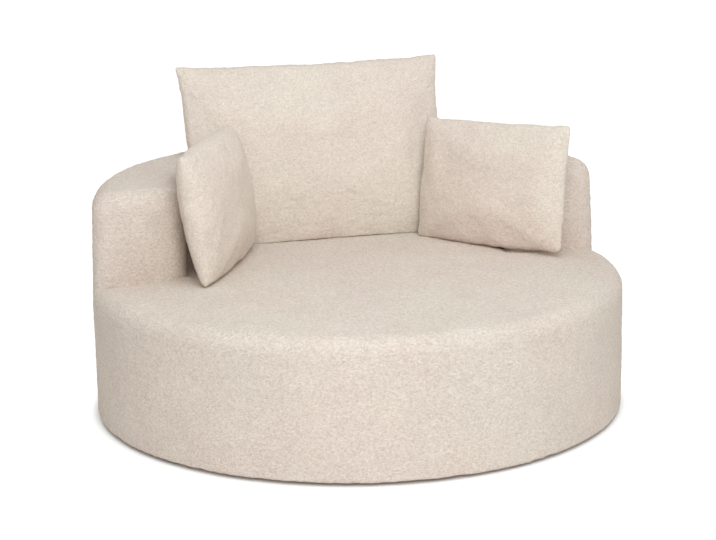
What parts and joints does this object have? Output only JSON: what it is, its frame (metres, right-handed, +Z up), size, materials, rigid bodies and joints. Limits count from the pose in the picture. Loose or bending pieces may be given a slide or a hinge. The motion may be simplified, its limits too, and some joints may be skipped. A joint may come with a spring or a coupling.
{
  "type": "round sofa",
  "caption": "Round drum sofa with a low C-shaped back and arms, one loose leaning back cushion and two loose pillows.",
  "frame": {"origin": "on the floor under the axis of the round drum", "axes": "+Z up, the sitter faces -Y, +X to the sitter's left, which is the right of the picture"},
  "size_m": [1.5, 1.5, 0.9195],
  "materials": {
    "teddy_cloth": "short curly pile",
    "cushion_cloth": "short curly pile",
    "foam": "open-cell foam",
    "fibre_filling": "fibre-filled bag",
    "zip_nylon": "nylon coil",
    "plywood": "raw",
    "timber": "planed",
    "hardboard": "raw",
    "elastic_webbing": "woven elastic",
    "dust_cloth": "non-woven",
    "glide_plastic": "moulded",
    "zinc_steel": "zinc plated"
  },
  "bodies": {
    "sofa_body": {"back_bolt_1": "zinc_steel", "back_bolt_2": "zinc_steel", "back_bolt_3": "zinc_steel", "back_bolt_4": "zinc_steel", "back_cover": "teddy_cloth", "back_foam": "foam", "back_foot_rail": "plywood", "back_inner_panel": "hardboard", "back_outer_panel": "hardboard", "back_post_1": "timber", "back_post_2": "timber", "back_post_3": "timber", "back_post_4": "timber", "back_post_5": "timber", "back_post_6": "timber", "back_post_7": "timber", "back_top_rail": "plywood", "base_post_1": "timber", "base_post_2": "timber", "base_post_3": "timber", "base_post_4": "timber", "base_post_5": "timber", "base_post_6": "timber", "base_ring": "plywood", "cross_rail_front": "timber", "cross_rail_side": "timber", "dust_cover": "dust_cloth", "front_strap_1": "elastic_webbing", "front_strap_2": "elastic_webbing", "front_strap_3": "elastic_webbing", "front_strap_4": "elastic_webbing", "front_strap_5": "elastic_webbing", "glide_1": "glide_plastic", "glide_2": "glide_plastic", "glide_3": "glide_plastic", "glide_4": "glide_plastic", "glide_5": "glide_plastic", "glide_6": "glide_plastic", "left_arm_end": "plywood", "right_arm_end": "plywood", "seat_cover": "teddy_cloth", "seat_foam": "foam", "seat_ring": "plywood", "side_cover": "teddy_cloth", "side_foam": "foam", "side_panel": "hardboard", "side_strap_1": "elastic_webbing", "side_strap_2": "elastic_webbing", "side_strap_3": "elastic_webbing", "side_strap_4": "elastic_webbing", "side_strap_5": "elastic_webbing"},
    "back_cushion": {"back_cushion_cover": "cushion_cloth", "back_cushion_filling": "fibre_filling", "back_cushion_zip": "zip_nylon"},
    "left_pillow": {"left_pillow_cover": "cushion_cloth", "left_pillow_filling": "fibre_filling", "left_pillow_zip": "zip_nylon"},
    "right_pillow": {"right_pillow_cover": "cushion_cloth", "right_pillow_filling": "fibre_filling", "right_pillow_zip": "zip_nylon"}
  },
  "joints": [
    {"name": "back_cushion_lift", "type": "slide", "parent": "sofa_body", "child": "back_cushion", "axis": [0, 0, 1], "range_m": [0, 0.35]},
    {"name": "left_pillow_lift", "type": "slide", "parent": "sofa_body", "child": "left_pillow", "axis": [0, 0, 1], "range_m": [0, 0.35]},
    {"name": "right_pillow_lift", "type": "slide", "parent": "sofa_body", "child": "right_pillow", "axis": [0, 0, 1], "range_m": [0, 0.35]}
  ]
}
